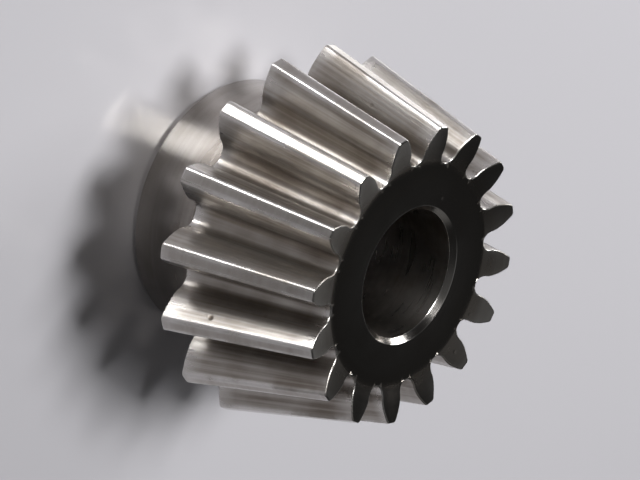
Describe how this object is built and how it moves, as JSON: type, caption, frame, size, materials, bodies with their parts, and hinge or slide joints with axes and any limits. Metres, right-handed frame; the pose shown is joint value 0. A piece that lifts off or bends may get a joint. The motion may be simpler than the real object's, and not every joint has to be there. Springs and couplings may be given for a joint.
{
  "type": "bevel pinion gear",
  "caption": "Small straight bevel pinion in bright machined steel, with a plain round hub and a through bore, that turns a shaft at right angles to its own.",
  "frame": {"origin": "centre of the bore on the flat end of the hub", "axes": "+Z along the bore, from the hub to the small end of the teeth, and +X through the middle of a tooth"},
  "size_m": [0.0358, 0.0358, 0.0238],
  "materials": {
    "steel": "bare machined steel: turned hub and ends, cut flanks"
  },
  "bodies": {
    "root": {"bevel_pinion": "steel"}
  },
  "joints": []
}
